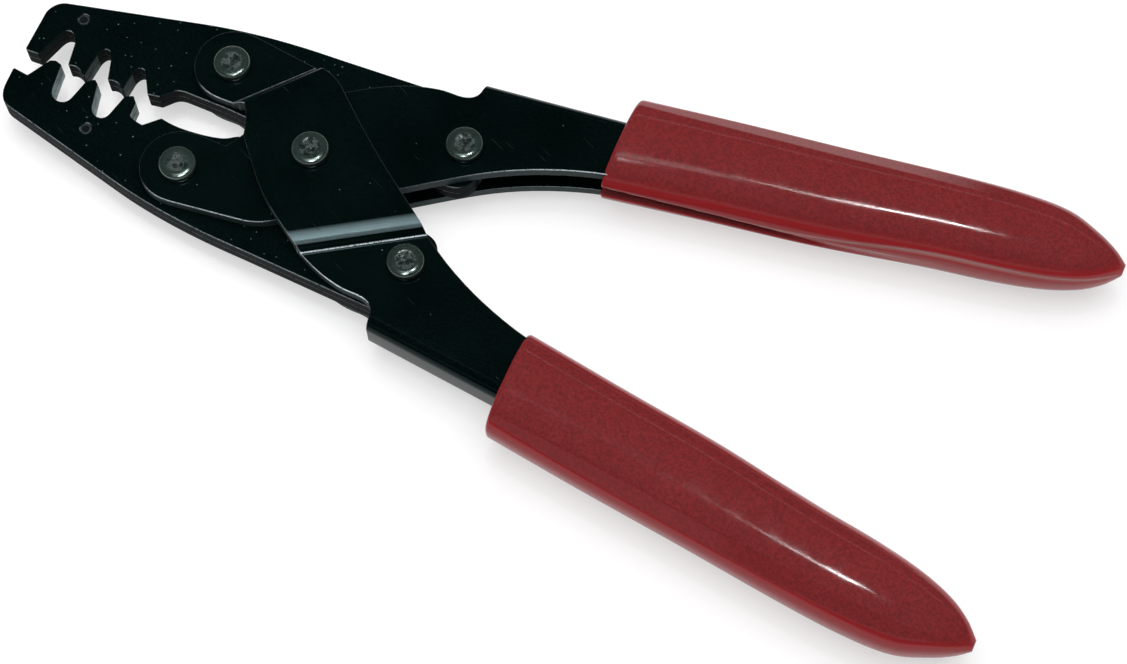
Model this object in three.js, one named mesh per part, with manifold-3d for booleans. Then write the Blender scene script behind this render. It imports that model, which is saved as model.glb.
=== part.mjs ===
// A hand crimping tool with parallel jaws, open, lying on its back. Millimetres, +Z up.
// The origin is on the middle pivot's axis, on the flat of that rivet's lower head.
// +X runs towards the handle ends and +Y towards the upper handle.
import * as THREE from "three";
import { mergeVertices } from "three/addons/utils/BufferGeometryUtils.js";
import Module from "manifold-3d";

const wasm = await Module();
wasm.setup();

// ---- driving dimensions ----
const UPPER = 1; // side of the tool on +Y
const LOWER = -1; // side of the tool on -Y

// pivots of the upper side; the lower side mirrors them
const JAW_PIVOT = { x: -22.3, y: 11.6 };
const TAIL_PIN = { x: 25.5, y: 13.1 };
const SLOT_TRAVEL = 1.6; // how far the tail slot slides over its bush as the tool closes

// levels measured from the tool's middle plane
const PLY_GAP = 0.05; // half the gap between the two plates of a jaw
const JAW_HALF = 2.25; // half the thickness of a jaw
const CHANNEL_INNER = 2.4; // inner face of a handle's side plate
const PLATE = 2.1; // sheet thickness of the handles
const CHANNEL_HALF = CHANNEL_INNER + PLATE;
const SIDE_GAP = 0.15; // running gap between the two handles
const RAISED_INNER = CHANNEL_HALF + SIDE_GAP;
const RAISED_HALF = RAISED_INNER + PLATE;

// rivets, bushes and pins
const HEAD_RADIUS = 3.55;
const HEAD_FLAT = 1.9;
const HEAD_RIM = 0.45;
const HEAD_SHOULDER = 0.35; // how far inside the rim the crown's curve turns
const HEAD_HEIGHT = 1.7;
const HEAD_GAP = 0.1;
const PIVOT_SHANK = 2.6;
const TAIL_SHANK = 2.0;
const RUNNING = 0.1; // radial play of a turning fit
const SPACER_RADIUS = 3.4;
const BUSH_RADIUS = 3.0;
const BUSH_HALF = 2.3;
const PIN_RADIUS = 1.1;
const PIN_HALF = 2.2;
const PIN_PLAY = 0.05;
const TIP_PINS = { upper: { x: -54.0, y: 10.3 }, lower: { x: -42.8, y: 10.5 } };
const REAR_PIN = { x: 2.0, y: 14.5 };

// handles
const NOSE_RADIUS = 7.4;
const WEB_START = { x: 23.8, y: 27.3 };
const WEB_SLOPE = 0.113;
const HANDLE_END = 131;
const SIDE_IN_GRIP = [[52.3, 18.1], [113.0, 28.4], [127.0, 31.0]]; // inner edge of a side plate
const END_CORNER = { control: 32.0, y: 35.5 }; // where that edge rounds off at the handle's end
const BEND_RADIUS = 2.4;
const FOLD_RUN = 1.3; // how far along the sheet the raised middle takes to step up
const FOLD_LAG = 1.0; // the inner face steps up this much later than the outer one
const UPPER_FOLD = { x: -12.7, y: 11.0, angle: 48.8 };
const LOWER_FOLD = { x: 7.0, y: -18.7, angle: 32.1 };
const MIDDLE_ANGLE = 40; // direction of the line that parts the two folds

// grips
const MOUTH_X = 51.7;
const GRIP_FIT = 0.25;
const GROOVE_HALF = 1.1;

const CURVE_STEPS = 5;
const ROUND_STEPS = 24;
const REACH = 200; // longer than the tool, for cutting bodies
const Z_REST = RAISED_HALF + HEAD_GAP + HEAD_HEIGHT; // height of the middle plane over the rest plane

// ---- materials ----
const blackSteel = new THREE.MeshStandardMaterial({ color: 0x0b1413, roughness: 0.32, metalness: 0.6 });
const dieSteel = new THREE.MeshStandardMaterial({ color: 0x0a1110, roughness: 0.36, metalness: 0.6 });
const rivetSteel = new THREE.MeshStandardMaterial({ color: 0x59605c, roughness: 0.3, metalness: 1.0 });
const redGrip = new THREE.MeshStandardMaterial({ color: 0x8a2328, roughness: 0.25, metalness: 0.0 });

// ---- helpers ----
// A drawing pen whose side mirrors what it draws across the X axis.
class Pen {
  constructor(side) {
    this.side = side;
    this.shape = new THREE.Shape();
  }
  move(x, y) {
    this.shape.moveTo(x, this.side * y);
    return this;
  }
  line(...points) {
    for (const [x, y] of points) this.shape.lineTo(x, this.side * y);
    return this;
  }
  curve(cx, cy, x, y) {
    this.shape.quadraticCurveTo(cx, this.side * cy, x, this.side * y);
    return this;
  }
  spline(...points) {
    this.shape.splineThru(points.map(([x, y]) => new THREE.Vector2(x, this.side * y)));
    return this;
  }
  arc(x, y, radius, from, to, clockwise) {
    const turn = (degrees) => this.side * THREE.MathUtils.degToRad(degrees);
    const way = this.side > 0 ? clockwise : !clockwise;
    this.shape.absarc(x, this.side * y, radius, turn(from), turn(to), way);
    return this;
  }
}

function solid(geometry) {
  geometry.deleteAttribute("normal");
  geometry.deleteAttribute("uv");
  const merged = mergeVertices(geometry, 1e-4);
  return new wasm.Manifold(
    new wasm.Mesh({
      numProp: 3,
      vertProperties: new Float32Array(merged.attributes.position.array),
      triVerts: new Uint32Array(merged.index.array),
    }),
  );
}

function prismGeometry(shape, low, high) {
  const options = { depth: high - low, bevelEnabled: false, curveSegments: CURVE_STEPS };
  return new THREE.ExtrudeGeometry(shape, options).translate(0, 0, low);
}

const prism = (shape, low, high) => solid(prismGeometry(shape, low, high));

function rod(x, y, radius, half) {
  const geometry = new THREE.CylinderGeometry(radius, radius, 2 * half, ROUND_STEPS);
  return solid(geometry.rotateX(Math.PI / 2).translate(x, y, 0));
}

// A bar of the given section that runs along a line through (x, y) at an angle in the XY plane.
// The section's first axis points to the left of that line's reverse, its second axis is +Z.
function bar(section, x, y, angle) {
  const along = THREE.MathUtils.degToRad(angle);
  const direction = new THREE.Vector3(Math.cos(along), Math.sin(along), 0);
  const up = new THREE.Vector3(0, 0, 1);
  const across = new THREE.Vector3().crossVectors(up, direction);
  const basis = new THREE.Matrix4().makeBasis(across, up, direction);
  return solid(prismGeometry(section, -REACH, REACH).applyMatrix4(basis).translate(x, y, 0));
}

function polygon(points) {
  return new THREE.Shape(points.map(([x, y]) => new THREE.Vector2(x, y)));
}

function addMesh(group, name, body, material) {
  const { vertProperties, triVerts } = body.getMesh();
  const geometry = new THREE.BufferGeometry();
  geometry.setAttribute("position", new THREE.BufferAttribute(new Float32Array(vertProperties), 3));
  geometry.setIndex(new THREE.BufferAttribute(new Uint32Array(triVerts), 1));
  geometry.computeVertexNormals();
  const mesh = new THREE.Mesh(geometry, material);
  mesh.name = name;
  group.add(mesh);
}

// ---- jaws ----
// Both jaws share the outer edge, the tail and its slot; each has its own dies and throat.
function drawJawBack(pen) {
  pen.line([-13.0, 3.6]).curve(-9.0, 6.0, -5.0, 6.0);
  pen.line([5.0, 6.0]).curve(9.0, 4.8, 13.0, 4.8);
  pen.line([25.2, 5.1]).curve(29.3, 5.3, 29.6, 9.2);
  pen.line([30.3, 19.5]).curve(30.3, 23.2, 26.5, 23.2);
  pen.line([19.5, 22.9], [-4.5, 21.7]);
  pen.curve(-18.5, 21.4, -30.0, 19.0);
}

function upperJawOutline() {
  const pen = new Pen(UPPER);
  pen.move(-61.4, 0.4).line([-60.9, 0.1], [-58.4, 0.2]);
  pen.line([-56.9, 5.2]).curve(-56.3, 7.2, -55.0, 7.0).curve(-54.0, 6.8, -53.2, 5.2);
  pen.line([-52.2, 0.2]).curve(-50.2, 1.3, -48.3, -0.9);
  pen.line([-48.0, 4.6]).curve(-47.6, 6.4, -46.6, 6.2).curve(-45.6, 6.0, -45.1, 4.4);
  pen.line([-43.7, 0.3]).curve(-41.9, 1.4, -40.1, -0.6);
  pen.line([-39.9, 3.6]).curve(-39.4, 5.2, -38.6, 5.1).curve(-37.8, 5.0, -37.4, 4.0);
  pen.line([-35.3, 0.6], [-32.9, 1.0], [-31.3, 2.8]).curve(-30.4, 3.8, -28.8, 3.8);
  pen.line([-19.0, 3.7], [-16.0, 3.4]);
  drawJawBack(pen);
  pen.line([-59.0, 12.2]).curve(-60.8, 11.5, -61.5, 9.2);
  return pen.shape;
}

function lowerJawOutline() {
  const pen = new Pen(LOWER);
  pen.move(-61.6, 4.2).line([-58.4, 4.6], [-55.9, 0.1], [-54.8, -0.3], [-53.4, 0.1]);
  pen.line([-52.6, 5.4]).curve(-52.1, 7.4, -50.2, 7.3).curve(-48.9, 7.2, -48.4, 5.9);
  pen.line([-47.4, 1.5], [-46.0, 0.4], [-45.1, 1.1]);
  pen.line([-43.8, 6.0]).curve(-43.2, 7.5, -41.6, 7.4).curve(-40.5, 7.3, -40.1, 6.0);
  pen.line([-39.1, 1.4], [-37.6, 0.7], [-36.5, 1.9]);
  pen.line([-36.3, 4.6]).curve(-36.2, 5.2, -33.3, 5.6).line([-30.5, 2.9]);
  pen.curve(-28.0, 3.5, -25.0, 3.3).curve(-20.0, 3.0, -17.4, 2.0).line([-15.2, 0.5]);
  pen.line([-13.6, 0.5]);
  drawJawBack(pen);
  pen.line([-58.8, 12.0]).curve(-61.0, 11.2, -61.4, 8.2);
  return pen.shape;
}

function tailSlot(side) {
  const rise = TAIL_PIN.y - JAW_PIVOT.y;
  const run = TAIL_PIN.x - JAW_PIVOT.x;
  const reach = Math.hypot(rise, run);
  const radius = BUSH_RADIUS + RUNNING;
  const clear = 0.3; // spare length at each end of the slot
  const bodies = [];
  for (const slide of [-clear, (SLOT_TRAVEL - clear) / 2, SLOT_TRAVEL]) {
    const along = 1 + slide / reach;
    const x = JAW_PIVOT.x + run * along;
    const y = JAW_PIVOT.y + rise * along;
    bodies.push(rod(x, side * y, radius, CHANNEL_HALF));
  }
  const box = polygon([
    [-clear, -radius],
    [SLOT_TRAVEL, -radius],
    [SLOT_TRAVEL, radius],
    [-clear, radius],
  ]);
  const middle = prismGeometry(box, -CHANNEL_HALF, CHANNEL_HALF);
  middle.rotateZ(side * Math.atan2(rise, run)).translate(TAIL_PIN.x, side * TAIL_PIN.y, 0);
  return bodies.reduce((whole, body) => whole.add(body), solid(middle));
}

function jawPlates(group, name, outline, side) {
  const tipPin = TIP_PINS[name];
  const holes = rod(JAW_PIVOT.x, side * JAW_PIVOT.y, PIVOT_SHANK + RUNNING, CHANNEL_HALF)
    .add(rod(tipPin.x, side * tipPin.y, PIN_RADIUS + PIN_PLAY, CHANNEL_HALF))
    .add(rod(REAR_PIN.x, side * REAR_PIN.y, PIN_RADIUS + PIN_PLAY, CHANNEL_HALF))
    .add(tailSlot(side));
  const front = prism(outline, PLY_GAP, JAW_HALF).subtract(holes);
  const back = prism(outline, -JAW_HALF, -PLY_GAP).subtract(holes);
  addMesh(group, `${name}_jaw_front_plate`, front, dieSteel);
  addMesh(group, `${name}_jaw_back_plate`, back, dieSteel);
  for (const [end, pin] of [["tip", tipPin], ["rear", REAR_PIN]]) {
    const body = rod(pin.x, side * pin.y, PIN_RADIUS, PIN_HALF);
    addMesh(group, `${name}_jaw_${end}_pin`, body, rivetSteel);
  }
}

// ---- handles ----
const webY = (x) => WEB_START.y + WEB_SLOPE * (x - WEB_START.x);

// The side plates of a handle. The nose of the handle on one side crosses to the other side's jaw.
function handleOutline(side) {
  const pen = new Pen(side);
  pen.move(-16.0, -4.3).line([JAW_PIVOT.x, -JAW_PIVOT.y + NOSE_RADIUS]);
  pen.arc(JAW_PIVOT.x, -JAW_PIVOT.y, NOSE_RADIUS, 90, 275, false);
  pen.line([-6.6, -17.1]).curve(-2.4, -16.6, 0.8, -13.4);
  pen.line([10.0, -5.6], [18.5, 0.6], [28.0, 7.3]);
  pen.curve(38.3, 14.5, ...SIDE_IN_GRIP[0]);
  pen.line(...SIDE_IN_GRIP).curve(HANDLE_END, END_CORNER.control, HANDLE_END, END_CORNER.y);
  pen.line([HANDLE_END, webY(HANDLE_END)], [WEB_START.x, WEB_START.y], [WEB_START.x - 0.2, 24.6]);
  pen.curve(23.0, 22.6, 20.0, 22.4).line([16.9, 22.4]).curve(10.5, 21.4, 5.0, 18.0);
  pen.line([0.2, 15.0], [-4.7, 11.4], [-8.9, 6.8], [-13.2, 1.8]).curve(-13.8, -1.5, -16.0, -4.3);
  return pen.shape;
}

function webOutline(side) {
  const pen = new Pen(side);
  pen.move(WEB_START.x, WEB_START.y).line([HANDLE_END, webY(HANDLE_END)]);
  pen.line([HANDLE_END, webY(HANDLE_END) - PLATE], [WEB_START.x, WEB_START.y - PLATE]);
  return pen.shape;
}

// Waste outside the rounded bends where the web meets the side plates.
function bendWaste(side) {
  const r = BEND_RADIUS;
  const over = 5; // how far the waste reaches past the sheet
  const angle = THREE.MathUtils.radToDeg(Math.atan(WEB_SLOPE)) * side;
  const pieces = [1, -1].map((face) => {
    const corner = new THREE.Shape();
    const centre = new THREE.Vector2(-side * r, face * (CHANNEL_HALF - r));
    corner.moveTo(centre.x, face * CHANNEL_HALF);
    const start = (face * Math.PI) / 2;
    const end = side > 0 ? 0 : face * Math.PI;
    corner.absarc(centre.x, centre.y, r, start, end, side * face > 0);
    corner.lineTo(side * over, centre.y);
    corner.lineTo(side * over, face * (CHANNEL_HALF + over));
    corner.lineTo(centre.x, face * (CHANNEL_HALF + over));
    return bar(corner, WEB_START.x, side * WEB_START.y, angle);
  });
  return pieces[0].add(pieces[1]);
}

// Everything on one side of the line that parts the two folds, with a little overlap.
function foldHalf(towardsFold) {
  const overlap = 0.25;
  const section = polygon([
    [-overlap, -REACH],
    [REACH, -REACH],
    [REACH, REACH],
    [-overlap, REACH],
  ]);
  return bar(section, 0, 0, towardsFold > 0 ? MIDDLE_ANGLE : MIDDLE_ANGLE + 180);
}

// The sheet of a side plate that steps outwards across a fold line.
function steppedSheet(fold, angle, face) {
  const section = polygon(
    [
      [REACH, CHANNEL_INNER],
      [-FOLD_LAG, CHANNEL_INNER],
      [-FOLD_LAG - FOLD_RUN, RAISED_INNER],
      [-REACH, RAISED_INNER],
      [-REACH, RAISED_HALF],
      [-FOLD_RUN, RAISED_HALF],
      [0, CHANNEL_HALF],
      [REACH, CHANNEL_HALF],
    ].map(([across, z]) => [across, face * z]),
  );
  return bar(section, fold.x, fold.y, angle);
}

function raisedSheet(face) {
  const upper = steppedSheet(UPPER_FOLD, UPPER_FOLD.angle, face).intersect(foldHalf(1));
  const lower = steppedSheet(LOWER_FOLD, LOWER_FOLD.angle + 180, face).intersect(foldHalf(-1));
  return upper.add(lower);
}

function boreHandle(body, side) {
  const reach = RAISED_HALF + 1;
  return body
    .subtract(rod(0, 0, PIVOT_SHANK + RUNNING, reach))
    .subtract(rod(JAW_PIVOT.x, -side * JAW_PIVOT.y, PIVOT_SHANK + RUNNING, reach))
    .subtract(rod(TAIL_PIN.x, side * TAIL_PIN.y, TAIL_SHANK + RUNNING, reach));
}

function innerHandle() {
  const outline = handleOutline(UPPER);
  const plates = prism(outline, CHANNEL_INNER, CHANNEL_HALF)
    .add(prism(outline, -CHANNEL_HALF, -CHANNEL_INNER));
  const web = prism(webOutline(UPPER), -CHANNEL_HALF, CHANNEL_HALF);
  return boreHandle(plates.add(web).subtract(bendWaste(UPPER)), UPPER);
}

function outerHandle() {
  const outline = prism(handleOutline(LOWER), -RAISED_HALF - 1, RAISED_HALF + 1);
  const plates = outline.intersect(raisedSheet(1).add(raisedSheet(-1)));
  const web = prism(webOutline(LOWER), -CHANNEL_HALF, CHANNEL_HALF);
  return boreHandle(plates.add(web).subtract(bendWaste(LOWER)), LOWER);
}

// ---- grips ----
// Stations along the upper grip: x, inner edge y, outer edge y, half thickness.
const GRIP_STATIONS = [
  [MOUTH_X, 15.8, 36.5, 6.2],
  [72, 19.1, 39.4, 6.3],
  [92, 22.2, 42.0, 6.3],
  [113, 26.3, 44.9, 6.3],
  [125, 28.3, 46.1, 6.2],
  [134, 30.4, 46.0, 5.7],
  [140.5, 32.9, 43.9, 4.6],
  [144.5, 35.6, 41.9, 3.0],
  [147.0, 38.2, 40.2, 0.8],
];
const GRIP_SIDES = 20;
const GRIP_STEPS = 20;
const GROOVE_FLOOR = [[MOUTH_X - 1, 17.5], [72, 20.9], [92, 24.0], [113, 27.1], [126, 28.5]];
const GRIP_SQUARENESS = 3; // exponent of the superellipse section; 2 is an ellipse

const gripColumn = (index) =>
  new THREE.SplineCurve(GRIP_STATIONS.map((row) => new THREE.Vector2(row[0], row[index])));
const gripInner = gripColumn(1);
const gripOuter = gripColumn(2);
const gripThick = gripColumn(3);

// A cylinder bent into the grip's body: each ring becomes a superellipse at its station.
function gripBody(side) {
  const geometry = new THREE.CylinderGeometry(1, 1, 1, GRIP_SIDES, GRIP_STEPS);
  const position = geometry.getAttribute("position");
  const flatten = (value) => Math.sign(value) * Math.abs(value) ** (2 / GRIP_SQUARENESS);
  for (let i = 0; i < position.count; i++) {
    const along = THREE.MathUtils.clamp(0.5 - position.getY(i), 0, 1);
    const inner = gripInner.getPoint(along);
    const outer = gripOuter.getPoint(along);
    const across = ((outer.y - inner.y) / 2) * flatten(position.getX(i));
    const y = (side * (inner.y + outer.y)) / 2 + across;
    position.setXYZ(i, inner.x, y, gripThick.getPoint(along).y * flatten(position.getZ(i)));
  }
  return solid(geometry);
}

// The hollow that takes the handle: its two side plates and its web, with the fit all round.
function gripHollow(side) {
  const start = MOUTH_X - 5;
  const end = HANDLE_END + GRIP_FIT;
  const edge = SIDE_IN_GRIP.map(([x, y]) => [x, y - GRIP_FIT]);
  const whole = new Pen(side);
  whole.move(start, edge[0][1] - 1).line(...edge);
  whole.curve(end, END_CORNER.control - GRIP_FIT, end, END_CORNER.y);
  whole.line([end, webY(end) + GRIP_FIT], [start, webY(start) + GRIP_FIT]);
  const core = new Pen(side);
  const inner = PLATE + GRIP_FIT;
  core.move(start - 1, 0).line([end + 1, 0], [end + 1, webY(end) - inner], [start - 1, webY(start) - inner]);
  const half = CHANNEL_INNER - GRIP_FIT;
  return prism(whole.shape, -CHANNEL_HALF - GRIP_FIT, CHANNEL_HALF + GRIP_FIT)
    .subtract(prism(core.shape, -half, half));
}

function grip(side) {
  const below = 4; // how far the cut reaches outside the grip's inner edge
  const [first, ...rest] = GROOVE_FLOOR;
  const last = rest[rest.length - 1];
  const groove = new Pen(side);
  groove.move(first[0], first[1] - below).line(first).spline(...rest).line([last[0], last[1] - below]);
  return gripBody(side)
    .subtract(gripHollow(side))
    .subtract(prism(groove.shape, -GROOVE_HALF, GROOVE_HALF));
}

// ---- rivets and bushes ----
function rivet(x, y, shank, seat) {
  const base = seat + HEAD_GAP;
  const top = base + HEAD_HEIGHT;
  const crown = new THREE.QuadraticBezierCurve(
    new THREE.Vector2(HEAD_RADIUS, base + HEAD_RIM),
    new THREE.Vector2(HEAD_RADIUS - HEAD_SHOULDER, top),
    new THREE.Vector2(HEAD_FLAT, top),
  ).getPoints(3);
  const half = [new THREE.Vector2(shank, base), new THREE.Vector2(HEAD_RADIUS, base), ...crown];
  half.push(new THREE.Vector2(0, top));
  const other = half.map((point) => new THREE.Vector2(point.x, -point.y)).reverse();
  const geometry = new THREE.LatheGeometry([...other, ...half], ROUND_STEPS);
  return solid(geometry.rotateX(Math.PI / 2).translate(x, y, 0));
}

const sleeve = (x, y, outer, inner, half) => rod(x, y, outer, half).subtract(rod(x, y, inner, half + 1));

// ---- assembly ----
const tool = new THREE.Group();
tool.position.z = Z_REST;

jawPlates(tool, "upper", upperJawOutline(), UPPER);
jawPlates(tool, "lower", lowerJawOutline(), LOWER);

addMesh(tool, "upper_handle", innerHandle(), blackSteel);
addMesh(tool, "lower_handle", outerHandle(), blackSteel);
addMesh(tool, "upper_grip", grip(UPPER), redGrip);
addMesh(tool, "lower_grip", grip(LOWER), redGrip);

addMesh(tool, "middle_pivot_rivet", rivet(0, 0, PIVOT_SHANK, RAISED_HALF), rivetSteel);
addMesh(tool, "middle_spacer", sleeve(0, 0, SPACER_RADIUS, PIVOT_SHANK + RUNNING, BUSH_HALF), rivetSteel);
for (const [name, side] of [["upper", UPPER], ["lower", LOWER]]) {
  const tailY = side * TAIL_PIN.y;
  const pivotRivet = rivet(JAW_PIVOT.x, side * JAW_PIVOT.y, PIVOT_SHANK, CHANNEL_HALF);
  const tailBush = sleeve(TAIL_PIN.x, tailY, BUSH_RADIUS, TAIL_SHANK + RUNNING, BUSH_HALF);
  addMesh(tool, `${name}_jaw_pivot_rivet`, pivotRivet, rivetSteel);
  addMesh(tool, `${name}_tail_rivet`, rivet(TAIL_PIN.x, tailY, TAIL_SHANK, CHANNEL_HALF), rivetSteel);
  addMesh(tool, `${name}_tail_bush`, tailBush, rivetSteel);
}

export default tool;
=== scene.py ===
"""Looks for a parallel-jaw hand crimping tool: two plate jaws, two folded handles, red grips.

Each shown piece is rebuilt from its CAD node in finer detail and stands for that node. The
helpers below work in millimetres, with z measured from the tool's middle plane.
"""

import math

import bmesh
import bpy
from mathutils import Matrix, Vector, geometry, noise


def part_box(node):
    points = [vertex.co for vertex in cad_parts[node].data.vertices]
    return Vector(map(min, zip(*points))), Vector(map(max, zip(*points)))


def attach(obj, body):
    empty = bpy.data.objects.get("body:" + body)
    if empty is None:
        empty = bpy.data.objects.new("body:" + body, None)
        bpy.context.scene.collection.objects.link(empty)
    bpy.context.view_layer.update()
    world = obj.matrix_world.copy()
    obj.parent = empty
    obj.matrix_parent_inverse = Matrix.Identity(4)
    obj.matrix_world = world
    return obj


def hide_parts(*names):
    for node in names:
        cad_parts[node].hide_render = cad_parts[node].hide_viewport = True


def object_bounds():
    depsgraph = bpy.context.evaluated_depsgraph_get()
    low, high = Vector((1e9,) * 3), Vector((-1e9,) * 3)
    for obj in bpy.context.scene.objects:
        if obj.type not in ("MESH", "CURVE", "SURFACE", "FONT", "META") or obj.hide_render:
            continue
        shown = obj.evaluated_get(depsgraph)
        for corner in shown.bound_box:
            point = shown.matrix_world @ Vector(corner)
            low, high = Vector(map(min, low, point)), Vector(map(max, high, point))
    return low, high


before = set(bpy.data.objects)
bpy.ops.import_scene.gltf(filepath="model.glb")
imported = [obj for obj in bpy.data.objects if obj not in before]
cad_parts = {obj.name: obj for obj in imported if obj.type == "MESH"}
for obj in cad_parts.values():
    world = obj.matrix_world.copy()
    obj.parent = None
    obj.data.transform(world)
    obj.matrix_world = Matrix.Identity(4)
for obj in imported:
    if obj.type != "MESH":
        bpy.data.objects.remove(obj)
cad_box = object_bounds()

MM = 0.001
UPPER, LOWER = 1, -1  # on which side of the tool's long axis a piece lies

# ---- sizes, in millimetres ----
SHEET = 2.1  # thickness of the handles' sheet
BEND_RADIUS = 2.4  # outside of the bend between side plate and web
CORNER = 0.35  # radius of a plate's sharp corners
EDGE = 0.12  # rounding of an outside cut edge
EDGE_INSIDE = 0.06  # rounding of a cut edge that lies against another plate
STRAIGHT_BELOW = math.radians(0.3)  # outline points that turn less than this are dropped
SMOOTH_BELOW = math.radians(35)  # outline corners under this angle are parts of a curve
ARC_STEP = math.radians(12)  # an arc has a corner at least this often
CORNER_REACH = 0.45  # a rounded corner takes no more than this share of the shorter side
BEND_CUTS = 9  # the sheet is cut this many times along a bend
FOLDS = [((-12.7, 11.0), 48.8), ((7.0, -18.7), 32.1 + 180)]  # a point of each fold, direction in degrees
FOLD_PARTING = 40  # direction of the line between the two folds, in degrees
FOLD_RUN = 1.3  # the sheet climbs to the raised middle over this distance
FOLD_LAG = 1.0  # and its inner face starts this much later than its outer one
FOLD_CUTS = 40  # the sheet is cut this many times across a fold,
FOLD_CUT_STEP = 0.15  # this far apart,
FOLD_CUT_START = 0.6  # and the first cut is this far outside the fold
FOLD_SHEEN_FROM = 0.9  # the painted sheen on the lower fold starts at this share of its climb
FOLD_CREST = 0.08  # half the width of the painted highlight line along the foot of a fold
ROLL_RUN = 2.6  # the raised middle eases onto its flat over this distance
ROLL_SLOPE = 0.19  # slope of that stretch where it leaves the fold
ROLL_SOFT = 0.8  # the slope fades out over this distance

# ---- wear, as shares of the coating that is gone; the same layer carries painted highlight lines ----
EDGE_WEAR = 0.01  # on a cut edge
FRONT_WEAR_AND_HIGHLIGHT = 0.9  # more of it on edges along the tool's front side: wear, and a painted highlight along them
FRONT_FROM = 0.8  # an edge counts as a front one from this much of its direction along the tool
FRONT_GAIN = 5  # and fully where it runs straight along it
WORN_BAND = 0.12  # how far the wear runs in from an edge, in millimetres
WEAR_FALL = 0.4  # how slowly it falls from the flat down the rounding
NOSE_SHARE = 0.45  # share of the front wear and painted highlight that the handles' noses have
HANDLED_FROM = 22  # the wear is full from here towards the grips, in millimetres
FOLD_FOOT_HIGHLIGHT = {False: 0.2, True: 1.0}  # painted highlight along the foot of the upper fold and of the lower one, in the wear layer


# ---- from the CAD nodes ----
MIDDLE = sum(corner.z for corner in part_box("middle_spacer")) / 2  # height of the middle plane


def box(node):
    """A node's lowest and highest corners in millimetres, z from the middle plane."""
    low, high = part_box(node)
    lift = Vector((0, 0, MIDDLE))
    return (low - lift) / MM, (high - lift) / MM


def plan_loops(node, above, steepest=0.1):
    """Outlines in plan of the faces that look up and lie above a level: outer one and holes."""
    bm = bmesh.new()
    bm.from_mesh(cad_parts[node].data)
    bmesh.ops.remove_doubles(bm, verts=bm.verts, dist=1e-6)
    bm.normal_update()
    for face in bm.faces:
        level = min(v.co.z for v in face.verts) - MIDDLE
        face.tag = face.normal.z > steepest and level > above * MM
    following = {}
    for face in bm.faces:
        for loop in face.loops:
            if face.tag and not loop.link_loop_radial_next.face.tag:
                following[loop.vert] = loop.link_loop_next.vert
    loops = []
    while following:
        start, vert = following.popitem()
        points = [start]
        while vert is not start:
            points.append(vert)
            vert = following.pop(vert)
        loops.append([Vector((v.co.x / MM, v.co.y / MM)) for v in points])
    bm.free()
    return [without_straight_points(points) for points in loops]


def turn_at(before, point, after):
    """How far an outline turns at a point, positive to the left."""
    first, second = point - before, after - point
    return math.atan2(first.x * second.y - first.y * second.x, first.dot(second))


def neighbours(points):
    """Each point of an outline between the one before it and the one after it."""
    count = len(points)
    return [(points[i - 1], points[i], points[(i + 1) % count]) for i in range(count)]


def without_straight_points(points):
    kept = []
    for before, point, after in neighbours(points):
        if abs(turn_at(before, point, after)) > STRAIGHT_BELOW:
            kept.append(point)
    return kept


def softened(points, corner=CORNER):
    """An outline with its facets turned into arcs and its sharp corners rounded."""
    made = []
    for before, point, after in neighbours(points):
        turn = turn_at(before, point, after)
        ahead, behind = after - point, before - point
        shortest = min(ahead.length, behind.length)
        tangent = math.tan(abs(turn) / 2)
        if abs(turn) < SMOOTH_BELOW:
            trim = shortest / 2
        else:
            trim = min(corner * tangent, CORNER_REACH * shortest)
        radius = trim / tangent
        start = point + behind.normalized() * trim
        heading = -behind.normalized()
        left = Vector((-heading.y, heading.x)) * math.copysign(1, turn)
        centre = start + left * radius
        steps = max(2, math.ceil(abs(turn) / ARC_STEP))
        for step in range(steps + 1):
            spin = Matrix.Rotation(turn * step / steps, 2)
            spot = centre + spin @ (start - centre)
            if not made or (spot - made[-1]).length > 1e-4:
                made.append(spot)
    if (made[0] - made[-1]).length < 1e-4:
        made.pop()
    return made


def inset(points, distance):
    """The outline moved into the material, which is always on its left."""
    moved = []
    for before, point, after in neighbours(points):
        first = (point - before).normalized()
        second = (after - point).normalized()
        normal = Vector((-first.y - second.y, first.x + second.x)).normalized()
        share = max(0.5, normal.dot(Vector((-first.y, first.x))))
        moved.append(point + normal * (distance / share))
    return moved


# ---- making meshes ----
def new_body():
    """An empty mesh with the layers that the materials read."""
    bm = bmesh.new()
    for layer in ("wear", "cut", "fold"):
        bm.verts.layers.float.new(layer)
    return bm


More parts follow.
